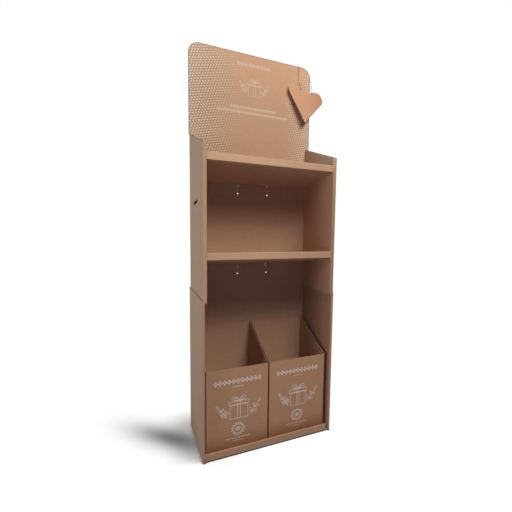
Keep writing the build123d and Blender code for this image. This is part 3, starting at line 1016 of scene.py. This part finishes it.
def evenly(points, step):
    """The same line as points at even distances."""
    lengths = [0.0]
    for first, second in zip(points, points[1:]):
        lengths.append(lengths[-1] + (second - first).length)
    count = ceil(lengths[-1] / step)
    result = []
    index = 0
    for number in range(count + 1):
        target = lengths[-1] * number / count
        while index < len(points) - 2 and lengths[index + 1] < target:
            index += 1
        span = max(lengths[index + 1] - lengths[index], 1e-9)
        share = min((target - lengths[index]) / span, 1.0)
        result.append(points[index].lerp(points[index + 1], share))
    return result


def twisted_tube(name, points, radius, material, closed=False):
    """A cord of strands laid round each other, along the points."""
    made = bmesh.new()
    rings = []
    tangent_before = None
    side = None
    travelled = 0.0
    count = len(points)
    for index, point in enumerate(points):
        after = points[(index + 1) % count] if closed else points[min(index + 1, count - 1)]
        before = points[index - 1] if closed or index else points[0]
        tangent = (after - before).normalized()
        if side is None:
            side = tangent.orthogonal().normalized()
        else:
            side = tangent_before.rotation_difference(tangent) @ side
            side = (side - tangent * side.dot(tangent)).normalized()
            travelled += (point - points[index - 1]).length
        tangent_before = tangent
        third = tangent.cross(side)
        lay = tau * travelled / STRAND_LAY
        ring = []
        for number in range(RING_POINTS):
            angle = tau * number / RING_POINTS
            groove = GROOVE_DEPTH * (1 - abs(cos(STRAND_COUNT * (angle - lay) / 2)))
            reach = radius * (1 - groove)
            ring.append(made.verts.new(point + side * reach * cos(angle) + third * reach * sin(angle)))
        rings.append(ring)
    pairs = list(zip(rings, rings[1:]))
    if closed:
        pairs.append((rings[-1], rings[0]))
    for first, second in pairs:
        band(made, first, second)
    if not closed:
        made.faces.new(rings[0][::-1])
        made.faces.new(rings[-1])
    bmesh.ops.recalc_face_normals(made, faces=made.faces)
    return new_piece(name, made, material, smooth=True)


def knot_points(centre, axis):
    """A trefoil, the shape of a pulled overhand knot, round the cord's end."""
    side = axis.orthogonal().normalized()
    third = axis.cross(side)
    points = []
    for index in range(KNOT_STEPS):
        turn = tau * index / KNOT_STEPS
        a = (sin(turn) + 2 * sin(2 * turn)) * KNOT_SCALE
        b = (cos(turn) - 2 * cos(2 * turn)) * KNOT_SCALE
        points.append(centre + side * a + third * b - axis * (sin(3 * turn) * KNOT_DEPTH))
    return points


def hang_cord():
    material = twine("twine")
    line = evenly(cord_line(), RING_STEP)
    cord = twisted_tube("heart_cord_twine", line, CORD_DIAMETER * CORD_FULLNESS / 2, material)
    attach(cord, BODY)
    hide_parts("heart_cord")
    for name, end, inner in (("knot_left", 0, 1), ("knot_right", -1, -2)):
        start = Vector(CORD_ROUTE[end])
        axis = (start - Vector(CORD_ROUTE[inner])).normalized()
        points = knot_points(start + axis * KNOT_PLACE, axis)
        knot = twisted_tube("heart_cord_" + name, points, KNOT_RADIUS, material, closed=True)
        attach(knot, BODY)
    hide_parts("cord_knots")


# Floor and background
FLOOR_HALF = 12.0
FLOOR_TONE = 0.8
FLOOR_BOUNCE = (0.25, 0.24, 0.23, 1)  # the floor's colour for light, so that it sends little back up
SUN_SHARE = 0.52  # share of the floor's white that comes from its sun and that its shadow takes away
SUN_LEAN = (0.059, -0.056, 1.0)
SUN_BREADTH = 0.104  # radians
CONTACT_REACH = 0.009  # the painted contact shadow where the stand meets the floor is about this wide
CONTACT_RAMP = (0.88, 0.97)
CONTACT_SAMPLES = 8
CONTACT_PLACES = (-0.172, -0.160)  # the line is under the front edge and fades away behind it
CONTACT_CORNERS = (0.2975, 0.3005)  # and it ends at the two front corners
CONTACT_ELSEWHERE = 0.25
# Painted soft shadow on the floor, an oval beside the stand
SHADE_PLACE = (-0.397, 0.090)
SHADE_TURN = 2.242
SHADE_LENGTH = 0.25
SHADE_WIDTH = 0.081
SHADE_DEPTH = 0.79
WORLD_LIGHT = (0.004, 0.004, 0.004, 1)


def seen_or_lit(nodes, lit, seen):
    """One surface for light, and one that is seen directly, in a mirror or through glass."""
    rays = nodes.node("LightPath").outputs
    share = rays["Is Camera Ray"]
    for ray in ("Is Glossy Ray", "Is Transmission Ray"):
        share = nodes.math("MAXIMUM", share, rays[ray])
    return nodes.node("MixShader", {"Fac": share, 1: lit.outputs[0], 2: seen.outputs[0]})


def floor_material():
    """White where the camera sees it, with a painted long soft shadow beside the stand and a painted dark
    contact shadow.
    """
    look = Look("floor_white")
    east = look.minus(look.x, SHADE_PLACE[0])
    north = look.minus(look.y, SHADE_PLACE[1])
    along, across = look.turn(east, north, SHADE_TURN)
    along = look.times(along, 1 / SHADE_LENGTH)
    across = look.times(across, 1 / SHADE_WIDTH)
    reach = look.add(look.times(along, along), look.times(across, across))
    shade = look.times(look.math("EXPONENT", look.times(reach, -1.0)), SHADE_DEPTH)
    contact = look.node("AmbientOcclusion", {"Distance": CONTACT_REACH}, samples=CONTACT_SAMPLES)
    near = look.ramp(contact.outputs["AO"], *CONTACT_RAMP, 1.0, 0.0)
    front = look.ramp(look.y, *CONTACT_PLACES, 1.0, 0.0)
    between = look.ramp(look.absolute(look.x), *CONTACT_CORNERS, 1.0, 0.0)
    amount = look.ramp(look.times(front, between), 0.0, 1.0, CONTACT_ELSEWHERE, 1.0)
    clear = look.times(look.minus(1.0, look.times(near, amount)), look.minus(1.0, shade))
    seen = look.node("BsdfDiffuse", {"Color": look.times(clear, FLOOR_TONE)})
    glow = look.node("Emission", {"Strength": look.times(clear, 1.0 - SUN_SHARE)})
    both = look.node("AddShader", {0: seen.outputs[0], 1: glow.outputs[0]})
    unseen = look.node("BsdfDiffuse", {"Color": FLOOR_BOUNCE})
    return look.end(seen_or_lit(look, unseen, both))


def make_floor():
    """A pale floor that keeps the stand's shadow and sends little light back up."""
    made = bmesh.new()
    corners = ((-1, -1), (1, -1), (1, 1), (-1, 1))
    made.faces.new([made.verts.new((x * FLOOR_HALF, y * FLOOR_HALF, 0)) for x, y in corners])
    floor = new_piece("floor", made, floor_material())
    return floor


def make_world():
    world = bpy.data.worlds.new("world")
    bpy.context.scene.world = world
    world.use_nodes = True
    nodes = Nodes(world.node_tree)
    light = nodes.node("Background", {"Color": WORLD_LIGHT})
    white = nodes.node("Background", {"Color": (1, 1, 1, 1)})
    nodes.node("OutputWorld", {"Surface": seen_or_lit(nodes, light, white).outputs[0]})


# Place, target, breadth, power in watts and colour of each lamp that lights the stand
LAMPS = {
    "key": ((0.50, -1.83, 2.97), (0, 0, 1.2), 0.9, 46.5, (0.985, 1.0, 0.925)),
    "front": ((0.10, -1.6, 2.2), (0, 0, 1.0), 0.5, 11.5, (1.0, 0.9, 0.979)),
    "left_low": ((-2.4, -0.6, 1.0), (-0.3, 0.0, 0.9), 1.0, 16.2, (0.95, 0.8, 0.88)),
    "left_back": ((-2.6, 0.5, 2.0), (-0.3, 0.0, 1.2), 1.0, 27.0, (0.40, 0.74, 1.0)),
    "low_fill": ((-0.6, -1.9, 1.1), (0, 0, 0.9), 0.3, 2.2, (0.1, 0.37, 1.0)),
    "rear": ((1.6, 2.2, 1.5), (0.1, 0.1, 0.9), 1.2, 30.0, (1.0, 0.95, 0.9)),
    "floor_bounce": ((0.0, -1.1, 0.15), (0.0, -0.2, 0.7), 1.2, 1.1, (1.0, 0.536, 0.714)),
}


def add_lamp(name, data, place, target, receivers):
    """A lamp that looks at the target. The receivers say what it lights."""
    lamp = new_object(name, data)
    lamp.location = place
    lamp.rotation_mode = "QUATERNION"
    lamp.rotation_quaternion = (Vector(target) - lamp.location).to_track_quat("-Z", "Y")
    lamp.light_linking.receiver_collection = receivers


def make_lamps(floor):
    """Soft lamps for the stand, and a high one that throws its shadow on the floor."""
    floor_only = bpy.data.collections.new("floor_only")
    floor_only.objects.link(floor)
    not_floor = bpy.data.collections.new("not_floor")
    not_floor.objects.link(floor)
    not_floor.collection_objects[0].light_linking.link_state = "EXCLUDE"
    for name, (place, target, breadth, power, colour) in LAMPS.items():
        data = bpy.data.lights.new(name, "AREA")
        data.shape = "DISK"
        data.size = breadth
        data.energy = power
        data.color = colour
        add_lamp(name, data, place, target, not_floor)
    data = bpy.data.lights.new("floor_sun", "SUN")
    data.energy = SUN_SHARE * pi / FLOOR_TONE
    data.angle = SUN_BREADTH
    add_lamp("floor_sun", data, SUN_LEAN, (0, 0, 0), floor_only)


make_camera()
hang_cord()
make_heart()
dress_solids()
print_boards()
make_world()
make_lamps(make_floor())
bpy.context.scene.view_settings.view_transform = "Standard"
